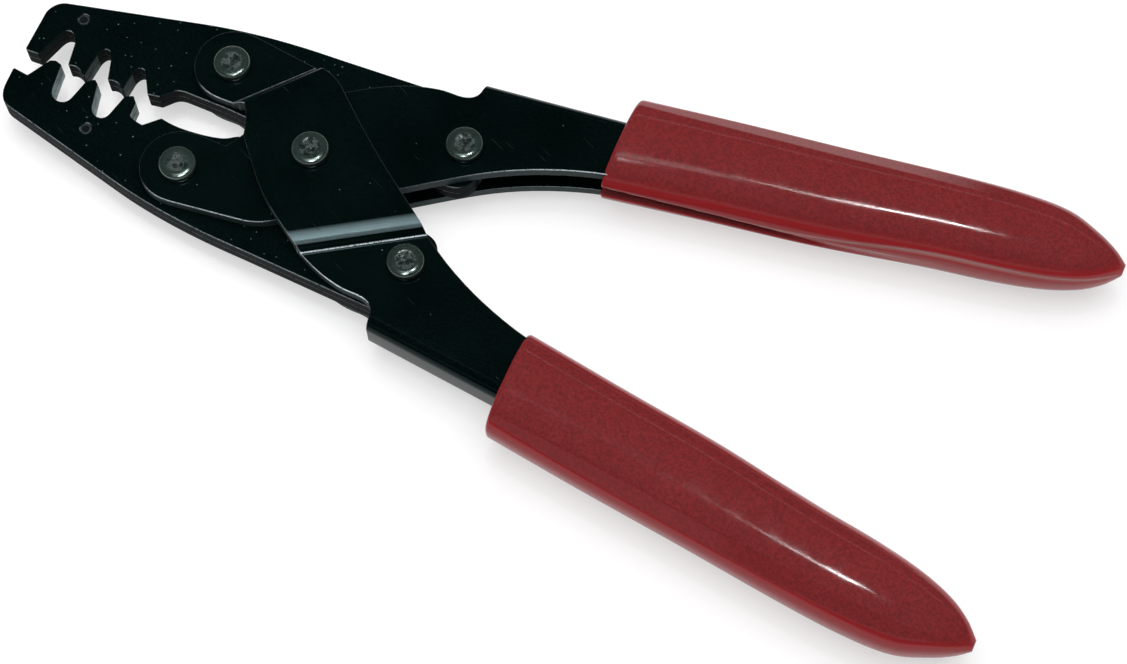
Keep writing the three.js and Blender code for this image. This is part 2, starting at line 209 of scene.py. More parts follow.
def plate(loops, low, high, edge_low, edge_high, steps=3):
    """A plate with rounded edges. Wear, with the painted highlight on front edges, is strongest on the
    roundings; cut is 1 on the cut side.
    """
    bm = new_body()
    wear, cut = bm.verts.layers.float["wear"], bm.verts.layers.float["cut"]
    profile = []
    for step in range(steps + 1):
        angle = math.pi / 2 * step / steps
        share = (1 - math.sin(angle), 1 - math.cos(angle))
        worn = math.sin(2 * angle)
        profile.append((edge_low * share[0], low + edge_low * share[1], worn, step / steps))
    for step in reversed(range(steps + 1)):
        angle = math.pi / 2 * step / steps
        share = (1 - math.sin(angle), 1 - math.cos(angle))
        worn = math.cos(angle) ** WEAR_FALL
        profile.append((edge_high * share[0], high - edge_high * share[1], worn, step / steps))
    profile.append((edge_high + WORN_BAND, high, 0, 0))
    caps = ([], [])
    for loop in loops:
        rings = []
        facing_front = []
        # edges along the front side get more of the wear layer: wear, and a painted highlight
        for before, _, after in neighbours(loop):
            beyond = max(0, (after - before).normalized().x - FRONT_FROM)
            facing_front.append(FRONT_GAIN * beyond)
        for offset, z, worn, on_cut in profile:
            ring = []
            for spot, front in zip(inset(loop, offset), facing_front):
                vert = bm.verts.new((spot.x, spot.y, z))
                vert[wear], vert[cut] = worn * (EDGE_WEAR + FRONT_WEAR_AND_HIGHLIGHT * front), on_cut
                ring.append(vert)
            rings.append(ring)
        for lower, upper in zip(rings, rings[1:]):
            for i in range(len(loop)):
                j = (i + 1) % len(loop)
                bm.faces.new((lower[i], lower[j], upper[j], upper[i]))
        caps[0].append(rings[0])
        caps[1].append(rings[-1])
    for rings, facing in zip(caps, (-1, 1)):
        flat = [vert for ring in rings for vert in ring]
        outlines = [[vert.co.copy() for vert in ring] for ring in rings]
        for corners in geometry.tessellate_polygon(outlines):
            a, b, c = (flat[i] for i in corners)
            up = (b.co - a.co).cross(c.co - a.co).z
            try:
                bm.faces.new((a, b, c) if up * facing > 0 else (a, c, b))
            except ValueError:
                continue
    return bm


def slice_across(bm, point, normal):
    """Cuts the faces along a plane, so that they can bend there."""
    everything = list(bm.verts) + list(bm.edges) + list(bm.faces)
    bmesh.ops.bisect_plane(bm, geom=everything, dist=1e-5, plane_co=point, plane_no=normal)


def show(bm, name, node, body, material):
    """Turns a mesh in millimetres into a piece that stands for one CAD node."""
    bm.transform(Matrix.Translation((0, 0, MIDDLE)) @ Matrix.Diagonal((MM, MM, MM, 1)))
    bmesh.ops.recalc_face_normals(bm, faces=bm.faces)
    mesh = bpy.data.meshes.new(name)
    bm.to_mesh(mesh)
    bm.free()
    mesh.shade_smooth()
    mesh.materials.append(material)
    piece = bpy.data.objects.new(name, mesh)
    bpy.context.scene.collection.objects.link(piece)
    weighted = piece.modifiers.new("weighted_normals", "WEIGHTED_NORMAL")
    weighted.mode = "FACE_AREA"
    weighted.weight = 50
    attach(piece, body)
    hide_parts(node)


# ---- materials ----
# Places of the colour sockets among the mix node's inputs, and of its colour output.
MIX_SHARE, MIX_FIRST, MIX_SECOND, MIX_COLOUR = 0, 6, 7, 2


class Shader:
    """A Principled material whose nodes are added by short calls."""

    def __init__(self, name, **constants):
        self.material = bpy.data.materials.new(name)
        self.material.use_nodes = True
        self.tree = self.material.node_tree
        self.surface = self.tree.nodes["Principled BSDF"]
        for socket, value in constants.items():
            self.surface.inputs[socket.replace("_", " ")].default_value = value
        coordinates = self.tree.nodes.new("ShaderNodeTexCoord").outputs
        to_mm = {"Vector": coordinates["Object"], "Scale": (1000,) * 3}
        self.place = self.add("ShaderNodeMapping", to_mm, "Vector")
        self.normal = coordinates["Normal"]

    def add(self, kind, inputs, output=0, **settings):
        made = self.tree.nodes.new(kind)
        for key, value in settings.items():
            setattr(made, key, value)
        for key, value in inputs.items():
            if isinstance(value, bpy.types.NodeSocket):
                self.tree.links.new(value, made.inputs[key])
            else:
                made.inputs[key].default_value = value
        return made.outputs[output]

    def noise(self, scale, detail=2.0, roughness=0.5, stretch=(1, 1, 1), turn=0.0):
        place = self.place
        if stretch != (1, 1, 1) or turn:
            spin = (0, 0, math.radians(turn))
            turned = self.add("ShaderNodeMapping", {"Vector": place, "Rotation": spin}, "Vector")
            place = self.add("ShaderNodeMapping", {"Vector": turned, "Scale": stretch}, "Vector")
        inputs = {"Vector": place, "Scale": scale, "Detail": detail, "Roughness": roughness}
        return self.add("ShaderNodeTexNoise", inputs, "Fac")

    def level(self, value, low, high, to_low=0.0, to_high=1.0):
        inputs = {"Value": value, "From Min": low, "From Max": high, "To Min": to_low, "To Max": to_high}
        return self.add("ShaderNodeMapRange", inputs, "Result", interpolation_type="SMOOTHSTEP")

    def times(self, first, second):
        return self.add("ShaderNodeMath", {0: first, 1: second}, operation="MULTIPLY")

    def plus(self, first, second):
        return self.add("ShaderNodeMath", {0: first, 1: second}, operation="ADD")

    def most(self, first, second):
        return self.add("ShaderNodeMath", {0: first, 1: second}, operation="MAXIMUM")

    def mix(self, share, first, second):
        inputs = {MIX_SHARE: share, MIX_FIRST: first, MIX_SECOND: second}
        return self.add("ShaderNodeMix", inputs, MIX_COLOUR, data_type="RGBA")

    def layer(self, name):
        return self.add("ShaderNodeAttribute", {}, "Fac", attribute_name=name)

    def facing(self, axis):
        """How far the surface looks along X, Y or Z of the tool."""
        return self.add("ShaderNodeSeparateXYZ", {0: self.normal}, axis)

    def specks(self, cell, size, share):
        """Small dots of a size in millimetres, in this share of the cells of a random net."""
        cells = self.tree.nodes.new("ShaderNodeTexVoronoi")
        cells.voronoi_dimensions = "2D"
        self.tree.links.new(self.place, cells.inputs["Vector"])
        cells.inputs["Scale"].default_value = 1 / cell
        near = self.level(cells.outputs["Distance"], size / cell, size / cell * 0.5)
        pick = self.level(cells.outputs["Color"], 1 - share, 1 - share + 0.02)
        return self.times(near, pick)

    def bump(self, height, distance, strength=1.0, under=None):
        inputs = {"Height": height, "Distance": distance * MM, "Strength": strength}
        if under is not None:
            inputs["Normal"] = under
        return self.add("ShaderNodeBump", inputs, "Normal")

    def finish(self, **sockets):
        for socket, value in sockets.items():
            self.tree.links.new(value, self.surface.inputs[socket.replace("_", " ")])
        return self.material


def grey(value, tint=(1, 1, 1)):
    return (value * tint[0], value * tint[1], value * tint[2], 1)


# Black coating: its darkest and palest tone, the tint of its reflections, what shows on it.
COATING = ((0.0001, 0.0016, 0.0014, 1), (0.0014, 0.0048, 0.0045, 1))
COATING_GLINT = (0.62, 0.95, 1, 1)
# a painted sheen on the lower fold's climb, where a highlight falls
PAINTED_FOLD_SHEEN = (0.085, 0.12, 0.13, 1)
SCRATCH = (0.012, 0.018, 0.017, 1)
SPECK = (0.09, 0.135, 0.125, 1)
# Tints of the greys: a cut side's dark and pale patches, the painted reflection on cut sides that face
# the grips, bare steel with its painted highlight lines.
CUT_TINTS = ((0.6, 1, 1), (0.65, 1, 1))
PAINTED_SHEEN_TINT = (0.8, 1, 1)
WORN_AND_HIGHLIGHT_TINT = (0.84, 0.94, 1)
# Rivets: rim and flat, each dark and pale, the bright grain of the flat, the worn rim.
RIM = ((0.02, 0.04, 0.034, 1), (0.055, 0.088, 0.076, 1))
FLAT = ((0.01, 0.022, 0.02, 1), (0.11, 0.145, 0.135, 1))
FLAT_GRAIN = (0.26, 0.3, 0.29, 1)
RIM_WORN = (0.2, 0.24, 0.23, 1)
# Vinyl: dark and pale, the mottle's dark, a paler red painted on the grip's flanks for light bounced up
# from the floor, painted shade on its underside, specks, the dusty crease.
VINYL = ((0.2, 0.022, 0.023, 1), (0.255, 0.027, 0.029, 1))
VINYL_MOTTLE = (0.125, 0.019, 0.021, 1)
VINYL_PAINTED_BOUNCE = (0.31, 0.019, 0.023, 1)
VINYL_PAINTED_SHADE = (0.17, 0.012, 0.015, 1)
VINYL_SPECK = (0.35, 0.09, 0.09, 1)
VINYL_DUST = (0.5, 0.33, 0.31, 1)
VINYL_SCATTER = (0.0015, 0.0004, 0.0003)  # how far red, green and blue light run in it, in metres


def black_finish(name, roughness, speck_share, cut_tone, gloss, worn, painted_sheen_grey):
    """Black-coated steel: cloudy gloss, fine grain, scratches, specks, bare dots on worn edges, painted
    highlight lines and a painted sheen on the lower fold.

    cut_tone, worn and the last grey are greys: of the cut sides; of the worn edges and the painted
    highlight lines on them;
    and of a painted reflection on the cut sides that face the grips without turning to the front. gloss
    is the coating's index of refraction.
    """
    shader = Shader(name, IOR=gloss, Specular_Tint=COATING_GLINT)
    fold, cut = shader.layer("fold"), shader.layer("cut")
    cloud = shader.noise(0.07, 3)
    grain = shader.noise(2.6, 2, 0.6)

    # scratches lie in patches, and specks everywhere but on the cut sides
    scratch = shader.level(shader.noise(1.0, 1, stretch=(0.12, 3.2, 0.12), turn=24), 0.72, 0.78)
    scratch = shader.times(scratch, shader.level(shader.noise(0.16), 0.5, 0.62))
    specks = shader.most(shader.specks(1.7, 0.13, speck_share), shader.specks(4.1, 0.17, speck_share))
    specks = shader.times(specks, shader.level(cut, 0.6, 0.1))
    wear = shader.times(shader.layer("wear"), shader.level(shader.noise(3.0, 3, 0.7), 0.34, 0.5))

    shade = shader.times(cloud, shader.level(grain, 0.35, 0.65, 0.3, 1.9))
    coating = shader.mix(shade, *COATING)
    cut_greys = (grey(cut_tone * 0.4, CUT_TINTS[0]), grey(cut_tone, CUT_TINTS[1]))
    cut_side = shader.mix(shader.noise(0.9, 3), *cut_greys)
    # painted reflection: cut sides that face the grips and not the front are painted paler, in patches
    painted_sheen_side = shader.times(shader.level(shader.facing("X"), 0.6, 0.95), shader.noise(0.5, 3))
    painted_sheen_side = shader.times(painted_sheen_side, shader.level(shader.facing("Y"), -0.12, 0.1))
    cut_side = shader.mix(painted_sheen_side, cut_side, grey(painted_sheen_grey, PAINTED_SHEEN_TINT))
    colour = shader.mix(cut, coating, cut_side)
    # painted sheen: the fold layer paints the lower fold's climb paler, most where it is steepest
    colour = shader.mix(fold, colour, PAINTED_FOLD_SHEEN)
    # bare steel on worn edges; the same grey paints the highlight lines on front edges and fold feet
    colour = shader.mix(wear, colour, grey(worn, WORN_AND_HIGHLIGHT_TINT))
    colour = shader.mix(scratch, colour, SCRATCH)
    colour = shader.mix(specks, colour, SPECK)

    rough = shader.level(cloud, 0.3, 0.7, roughness * 0.85, roughness * 1.2)
    dull = shader.most(shader.times(fold, 0.12), shader.times(cut, 0.45))
    rough = shader.plus(dull, rough)
    bumpy = shader.bump(grain, 0.003)
    bumpy = shader.bump(shader.times(shader.noise(2.2, 2, 0.6), fold), 0.006, under=bumpy)
    bumpy = shader.bump(shader.most(specks, scratch), 0.02, under=bumpy)
    # the coating is thin in patches on the fold, where the steel shows through
    bare = shader.level(shader.noise(1.3, 3), 0.25, 0.6, 0.07, 0.15)
    bare = shader.times(shader.level(fold, 0.76, 0.96), bare)
    return shader.finish(Base_Color=colour, Metallic=bare, Roughness=rough, Normal=bumpy)


def rivet_finish():
    """Dark polished steel, mottled on the flat of the head, with a paler worn ring on the rim."""
    shader = Shader("rivet_steel", Metallic=0.6, Coat_Weight=1, Coat_Roughness=0.1)
    flat = shader.layer("cut")
    blotch = shader.noise(0.8, 3, 0.6)
    grain = shader.noise(2.8, 3, 0.7)
    rim = shader.mix(blotch, *RIM)
    rim = shader.mix(shader.layer("wear"), rim, RIM_WORN)
    face = shader.mix(shader.level(blotch, 0.4, 0.6), *FLAT)
    face = shader.mix(shader.level(grain, 0.6, 0.7), face, FLAT_GRAIN)
    colour = shader.mix(flat, rim, face)
    rough = shader.level(grain, 0.3, 0.7, 0.12, 0.2)
    bumpy = shader.bump(grain, 0.006)
    bumpy = shader.bump(shader.times(blotch, flat), 0.05, under=bumpy)
    return shader.finish(Base_Color=colour, Roughness=rough, Normal=bumpy)


def grip_finish():
    """Glossy red vinyl with a faint mottle and specks, painted bounce light on its flanks and painted
    shade underneath, dusty in the crease.
    """
    shader = Shader("red_vinyl", IOR=1.38, Subsurface_Weight=0.06, Subsurface_Scale=1.0)
    shader.surface.inputs["Subsurface Radius"].default_value = VINYL_SCATTER
    cloud = shader.noise(0.09, 3)
    mottle = shader.noise(1.8, 3, 0.7)
    specks = shader.specks(3.3, 0.1, 0.12)
    upward = shader.facing("Z")
    colour = shader.mix(shader.level(mottle, 0.35, 0.65, 0, 0.8), shader.mix(cloud, *VINYL), VINYL_MOTTLE)
    # painted bounce light: where the surface turns away from facing up, it is painted a paler red
    colour = shader.mix(shader.level(upward, 0.88, 0.6), colour, VINYL_PAINTED_BOUNCE)
    # painted shade: where the surface faces down, it is painted a darker red
    colour = shader.mix(shader.level(upward, 0.0, -0.35), colour, VINYL_PAINTED_SHADE)
    colour = shader.mix(shader.times(specks, 0.5), colour, VINYL_SPECK)
    colour = shader.mix(shader.layer("wear"), colour, VINYL_DUST)
    rough = shader.level(shader.noise(0.5, 4), 0.3, 0.7, 0.07, 0.13)
    bumpy = shader.bump(mottle, 0.0015)
    return shader.finish(Base_Color=colour, Roughness=rough, Normal=bumpy)


HANDLE_STEEL = black_finish(
    "black_steel", roughness=0.12, speck_share=0.1, cut_tone=0.05, gloss=1.25, worn=1.0, painted_sheen_grey=0.05
)
DIE_STEEL = black_finish(
    "die_steel", roughness=0.14, speck_share=0.26, cut_tone=0.01, gloss=1.12, worn=0.24, painted_sheen_grey=0.75
)
RIVET_STEEL = rivet_finish()
RED_VINYL = grip_finish()

# ---- jaws ----
for side_name in ("upper", "lower"):
    for ply, seam in (("front", 1), ("back", -1)):
        node = f"{side_name}_jaw_{ply}_plate"
        low, high = box(node)
        outlines = [softened(points) for points in plan_loops(node, high.z - 0.05)]
        edges = (EDGE_INSIDE, EDGE) if seam > 0 else (EDGE, EDGE_INSIDE)
        body = plate(outlines, low.z, high.z, *edges)
        show(body, f"fine_{node}", node, f"{side_name}_jaw", DIE_STEEL)


# ---- handles ----
def ramp(value, soft=0.35):
    """From 0 to 1 in a straight line, with its two ends rounded off."""
    if value > 0.5:
        return 1 - ramp(1 - value, soft)
    if value <= -soft:
        return 0.0
    return (value + soft) ** 2 / (4 * soft) if value < soft else value


def folded_handle(node, raised):
    """A handle pressed from one sheet: its web folds round, and its middle may be raised."""
    low, high = box(node)
    outer = box("upper_handle")[1].z  # outside level of the side plates
    rise = high.z - outer
    bend_start = outer - BEND_RADIUS
    loops = plan_loops(node, bend_start - 0.1)
    loops.sort(key=len, reverse=True)
    rim = loops[0]
    spans = [(rim[(i + 1) % len(rim)] - rim[i]).length for i in range(len(rim))]
    first = spans.index(max(spans))
    rim = rim[first:] + rim[:first]  # the web's outer line now runs from point 0 to point 1
    start, end = rim[0], rim[1]
    along = (end - start).normalized()
    inward = Vector((-along.y, along.x))
    arc = BEND_RADIUS * math.pi / 2
    spare = 1  # a strip beyond the middle plane, which is cut off again
    flap = arc + bend_start + spare - BEND_RADIUS  # flat pattern beyond the web's outer line
    rim = [start, start - inward * flap, end - inward * flap, end] + rim[2:]
    outlines = [softened(rim)] + [softened(points) for points in loops[1:]]
    bm = plate(outlines, outer - SHEET, outer, EDGE_INSIDE, EDGE)
    wear, fold = bm.verts.layers.float["wear"], bm.verts.layers.float["fold"]

    for step in range(BEND_CUTS + 1):
        distance = BEND_RADIUS - arc * step / BEND_CUTS
        spot = start + inward * distance
        slice_across(bm, (spot.x, spot.y, 0), (inward.x, inward.y, 0))
    folds = []
    if raised:
        for point, angle in FOLDS:
            heading = math.radians(angle)
            across = Vector((-math.sin(heading), math.cos(heading)))
            folds.append((Vector(point), across))
            for step in range(FOLD_CUTS):
                spot = Vector(point) + across * (FOLD_CUT_START - FOLD_CUT_STEP * step)
                slice_across(bm, (spot.x, spot.y, 0), (across.x, across.y, 0))

    parting_angle = math.radians(FOLD_PARTING)
    parting = Vector((-math.sin(parting_angle), math.cos(parting_angle)))
    for vert in bm.verts:
        handled = min(1, max(0, vert.co.x / HANDLED_FROM))
        vert[wear] *= NOSE_SHARE + (1 - NOSE_SHARE) * handled
        spot = Vector((vert.co.x, vert.co.y))
        depth = outer - vert.co.z
        distance = (spot - start).dot(inward)
        if distance < BEND_RADIUS:
            run = BEND_RADIUS - distance
            angle = min(run / BEND_RADIUS, math.pi / 2)
            radius = BEND_RADIUS - depth
            spot += inward * (BEND_RADIUS - radius * math.sin(angle) - distance)
            vert.co.x, vert.co.y = spot
            vert.co.z = bend_start + radius * math.cos(angle) - max(0, run - arc)
        elif raised:
            # the lower fold is the one that carries the painted sheen
            painted_sheen_side = spot.dot(parting) < 0
            point, across = folds[1 if painted_sheen_side else 0]
            away = -(spot - point).dot(across) - FOLD_LAG * depth / SHEET
            left = max(0.0, FOLD_RUN + ROLL_RUN - max(away, FOLD_RUN))
            eased = math.hypot(left, ROLL_SOFT)
            vert.co.z += (rise - ROLL_SLOPE * (eased - ROLL_SOFT)) * ramp(away / FOLD_RUN)
            # painted sheen: the fold layer marks the lower fold's climb, to be painted paler
            if painted_sheen_side and away > FOLD_SHEEN_FROM * FOLD_RUN:
                vert[fold] = left / eased
            # painted highlight: a bright line along the foot of each fold, put in the wear layer
            if abs(away) < FOLD_CREST:
                vert[wear] = FOLD_FOOT_HIGHLIGHT[painted_sheen_side]
    everything = list(bm.verts) + list(bm.edges) + list(bm.faces)
    bmesh.ops.bisect_plane(
        bm, geom=everything, dist=1e-5, plane_co=(0, 0, 0), plane_no=(0, 0, 1), clear_inner=True
    )
    twin = bm.copy()
    twin.transform(Matrix.Diagonal((1, 1, -1, 1)))
    bmesh.ops.reverse_faces(twin, faces=twin.faces)
    mesh = bpy.data.meshes.new("half")
    twin.to_mesh(mesh)
    bm.from_mesh(mesh)
    bpy.data.meshes.remove(mesh)
    bmesh.ops.remove_doubles(bm, verts=bm.verts, dist=1e-4)
    show(bm, f"fine_{node}", node, node, HANDLE_STEEL)


folded_handle("upper_handle", raised=False)
folded_handle("lower_handle", raised=True)


# ---- rivets, pins and bushes ----
def turned(profile, centre, sides=72):
    """A turned body from rows of radius, z, wear and cut; a radius of 0 closes it."""
    bm = new_body()
    wear, cut = bm.verts.layers.float["wear"], bm.verts.layers.float["cut"]
    rings = []
    for radius, z, worn, on_cut in profile:
        ring = []
        for i in range(sides if radius > 0 else 1):
            angle = math.tau * i / sides
            spot = (centre.x + radius * math.cos(angle), centre.y + radius * math.sin(angle), z)
            vert = bm.verts.new(spot)
            vert[wear], vert[cut] = worn, on_cut
            ring.append(vert)
        rings.append(ring)
    for lower, upper in zip(rings, rings[1:]):
        for i in range(sides):
            corners = [lower[i % len(lower)], lower[(i + 1) % sides % len(lower)]]
            corners += [upper[(i + 1) % sides % len(upper)], upper[i % len(upper)]]
            bm.faces.new(list(dict.fromkeys(corners)))
    return bm


def mirrored(profile):
    """Rows of a profile's upper half, with the lower half added below them."""
    return [(r, -z, worn, on_cut) for r, z, worn, on_cut in reversed(profile)] + profile


HEAD_HEIGHT = 1.7  # from the seat to the top of a rivet's head
HEAD_FOOT = 0.12  # bevel at the foot of the head
RIM_WEAR = 0.4
RIM_BAND = (0.93, 0.98)  # the worn ring, as shares of the head's radius
# A rivet head's crown: share of the head's radius, depth below its top.
HEAD_CROWN = [
    (1.0, 1.0),
    (0.99, 0.7),
    (0.97, 0.45),
    (0.94, 0.28),
    (0.9, 0.16),
    (0.86, 0.125),
    (0.82, 0.093),
    (0.78, 0.066),
    (0.74, 0.043),
    (0.7, 0.024),
    (0.66, 0.01),
    (0.62, 0.002),
]
# The flat inside the crown: radius, depth below the top, share of the dimple's depth, cut layer.
HEAD_FLAT = [
    (1.95, 0.01, 0, 0.5),
    (1.8, 0.02, 0, 1),
    (1.65, 0.03, 0, 1),
    (1.1, 0.03, 0.4, 1),
    (0.7, 0.03, 0.9, 1),
    (0.35, 0.03, 1, 1),
    (0, 0.03, 1, 1),
]
FLAT_DENT = 0.03  # how deep the flat's unevenness goes
DENT_SCALE = 1.3


def head_profile(radius, top, shank, dimple):
    """Half of a rivet, from its shank out: seat, crown, and a flat with a shallow dimple."""
    seat = top - HEAD_HEIGHT
    rows = [(shank, seat, 0, 0), (radius - HEAD_FOOT, seat, 0, 0), (radius, seat + HEAD_FOOT, 0.3, 0)]
    for share, depth in HEAD_CROWN:
        worn = RIM_WEAR if RIM_BAND[0] < share < RIM_BAND[1] else 0
        rows.append((radius * share, top - depth, worn, 0))
    for ring, depth, share, on_cut in HEAD_FLAT:
        rows.append((ring, top - depth - share * dimple, 0, on_cut))
    return rows


# The body that each rivet rides on, its shank's radius and its dimple's depth.
RIVETS = {
    "middle_pivot_rivet": ("lower_handle", 2.6, 0.05),
    "upper_jaw_pivot_rivet": ("lower_handle", 2.6, 0.12),
    "lower_jaw_pivot_rivet": ("upper_handle", 2.6, 0.1),
    "lower_tail_rivet": ("lower_handle", 2.0, 0.06),
    "upper_tail_rivet": ("upper_handle", 2.0, 0.1),
}
for node, (body, shank, dimple) in RIVETS.items():
    low, high = box(node)
    profile = head_profile((high.x - low.x) / 2, high.z, shank, dimple)
    bm = turned(mirrored(profile), (low + high) / 2)
    wobble = Vector((low.x, low.y, 0)) * 3.1  # another stretch of the noise for each rivet
    cut = bm.verts.layers.float["cut"]
    for vert in bm.verts:
        sunk = FLAT_DENT * vert[cut] * (1 + noise.noise(vert.co * DENT_SCALE + wobble))
        vert.co.z -= math.copysign(sunk, vert.co.z)
    show(bm, f"fine_{node}", node, body, RIVET_STEEL)

PIN_BEVEL = 0.15
PIN_RING = 0.4  # width of the ring round a pin's dull middle
PIN_HOLLOW = 0.05  # how far the middle of its end is sunk
for side_name in ("upper", "lower"):
    for place in ("tip", "rear"):
        node = f"{side_name}_jaw_{place}_pin"
        low, high = box(node)
        radius = (high.x - low.x) / 2
        rows = [(radius, high.z - PIN_BEVEL, 0.12, 0), (radius - PIN_BEVEL, high.z, 0.25, 0.5)]
        rows += [(radius - PIN_RING, high.z, 0, 1), (0, high.z - PIN_HOLLOW, 0, 1)]
        body = turned(mirrored(rows), (low + high) / 2, 40)
        show(body, f"fine_{node}", node, f"{side_name}_jaw", DIE_STEEL)

BORE_BEVEL = 0.1
SLEEVE_BEVEL = 0.15
# The body that each sleeve rides on and the radius of its bore.
SLEEVES = {
    "middle_spacer": ("upper_handle", 2.7),
    "upper_tail_bush": ("upper_handle", 2.1),
    "lower_tail_bush": ("lower_handle", 2.1),
}
for node, (body, bore) in SLEEVES.items():
    low, high = box(node)
    radius = (high.x - low.x) / 2
    rows = [(bore, 0, 0, 0), (bore, high.z - BORE_BEVEL, 0.5, 0), (bore + BORE_BEVEL, high.z, 0.5, 0)]
    rows += [(radius - SLEEVE_BEVEL, high.z, 0.5, 0), (radius, high.z - SLEEVE_BEVEL, 0.5, 0)]
    rows += [(radius, 0, 1, 0)]
    half = [(r, -z, worn, on_cut) for r, z, worn, on_cut in reversed(rows[1:-1])]
    ring = rows + half + [rows[0]]
    bm = turned(ring, (low + high) / 2, 48)
    bmesh.ops.remove_doubles(bm, verts=bm.verts, dist=1e-4)
    show(bm, f"fine_{node}", node, body, RIVET_STEEL)


# ---- grips ----
# Along the grip, as shares of its box: distance from the mouth, inner edge, outer edge, thickness.
GRIP_ROWS = [
    (0.0, -0.004, 0.678, 0.983),
    (0.213, 0.105, 0.774, 0.999),
    (0.423, 0.207, 0.86, 0.999),
    (0.643, 0.342, 0.955, 0.999),
    (0.769, 0.408, 0.995, 0.983),
    (0.864, 0.477, 0.992, 0.904),
    (0.932, 0.56, 0.922, 0.73),
    (0.974, 0.649, 0.857, 0.476),
    (1.0, 0.735, 0.8, 0.127),
]
# The parting of the mould along the inner side: distance from the mouth as a share of the length,
# middle and depth of the open groove, middle and depth of the crease that takes over from it.
PARTING_ROWS = [
    (0.0, 0.9, 1.9, 1.2, 0.0),
    (0.2, 0.3, 1.7, 1.2, 0.0),
    (0.36, -0.3, 1.2, 1.3, 0.1),
    (0.47, -0.5, 0.5, 1.7, 0.32),
    (0.6, -0.5, 0.1, 2.7, 0.36),
    (0.74, -0.5, 0.0, 2.9, 0.36),
    (0.88, -0.5, 0.0, 2.3, 0.34),
    (0.97, -0.3, 0.0, 1.4, 0.2),
    (1.0, 0.0, 0.0, 0.2, 0.0),
]
GROOVE_WIDTH = 1.0
CREASE_WIDTH = 0.35
CREASE_DUST = 0.6  # how pale the dust in the crease is
FULL_DUST_AT = 1 / 3  # depth of the crease from which the dust is full
DENSE_POINTS = 900  # points round a section before they are spaced evenly
GRIP_POINTS = 180  # and after
STATIONS = [0, 0.0015, 0.004, 0.008]  # sections at the mouth,
STATIONS += [0.016 + 0.984 * (i / 80) for i in range(80)]  # along the grip
STATIONS += [0.992, 0.996, 0.999]  # and at the tip, as shares of its length
LIP_ROUNDING = 0.35
LIP_RUN = 0.006  # share of the length over which the mouth's lip is rounded
SQUARE = 2.5  # exponent of a section's rounding
BEVEL_TILT = math.radians(36)  # tilt of the flat that runs along the grip's outer side
BEVEL_EASE = math.radians(11)  # it lies this much flatter towards the tip,
EASE_START, EASE_RUN = 0.5, 0.3  # easing over this share of the length
BEVEL_DEPTH = 0.28  # how much the flat takes off the outer side, at its deepest
BEVEL_MIDDLE, BEVEL_REACH = 0.45, 0.5  # where that is, and how far it runs to either side


def through(rows, at):
    """Smooth curve through rows of numbers, the first number of each being where it stands."""
    for i in range(len(rows) - 1):
        if at <= rows[i + 1][0] or i == len(rows) - 2:
            break
    before, after = rows[max(0, i - 1)], rows[min(len(rows) - 1, i + 2)]
    left, right = rows[i], rows[i + 1]
    span = right[0] - left[0]
    t = (at - left[0]) / span
    values = []
    for k in range(1, len(left)):
        slope_left = (right[k] - before[k]) / (right[0] - before[0]) * span
        slope_right = (after[k] - left[k]) / (after[0] - left[0]) * span
        h = (2 * t**3 - 3 * t**2 + 1, t**3 - 2 * t**2 + t, 3 * t**2 - 2 * t**3, t**3 - t**2)
        values.append(h[0] * left[k] + h[1] * slope_left + h[2] * right[k] + h[3] * slope_right)
    return values


def power(value, exponent):
    """The power of a number's size, with the number's own sign."""
    return math.copysign(abs(value) ** exponent, value)


def grip_section(inner, outer, half, parting, tilt, bevel):
    """One section of the grip: y, z and dust, evenly spaced, from the middle of the inner side."""
    groove, groove_depth, crease, crease_depth = parting
    dense = []
    for i in range(DENSE_POINTS):
        angle = math.tau * i / DENSE_POINTS
        y = (inner + outer) / 2 - (outer - inner) / 2 * power(math.cos(angle), 2 / SQUARE)
        z = half * power(math.sin(angle), 2 / SQUARE)
        dust = 0.0
        if math.cos(angle) < 0:
            rise = math.copysign(math.cos(tilt), z)
            reach = (y - (inner + outer) / 2) * math.sin(tilt) + z * rise
            excess = max(0.0, reach - bevel)
            y -= excess * math.sin(tilt)
            z -= excess * rise
        else:
            fine = math.exp(-(((z - crease) / CREASE_WIDTH) ** 2))
            y += groove_depth * math.exp(-(((z - groove) / GROOVE_WIDTH) ** 4)) + crease_depth * fine
            dust = CREASE_DUST * min(1, crease_depth / FULL_DUST_AT) * fine
        dense.append(Vector((y, z, dust)))
    lengths = [0.0]
    for i in range(DENSE_POINTS):
        lengths.append(lengths[-1] + (dense[(i + 1) % DENSE_POINTS] - dense[i]).xy.length)
    points, i = [], 0
    for k in range(GRIP_POINTS):
        target = lengths[-1] * k / GRIP_POINTS
        while lengths[i + 1] < target:
            i += 1
        share = (target - lengths[i]) / (lengths[i + 1] - lengths[i])
        points.append(dense[i].lerp(dense[(i + 1) % DENSE_POINTS], share))
    return points


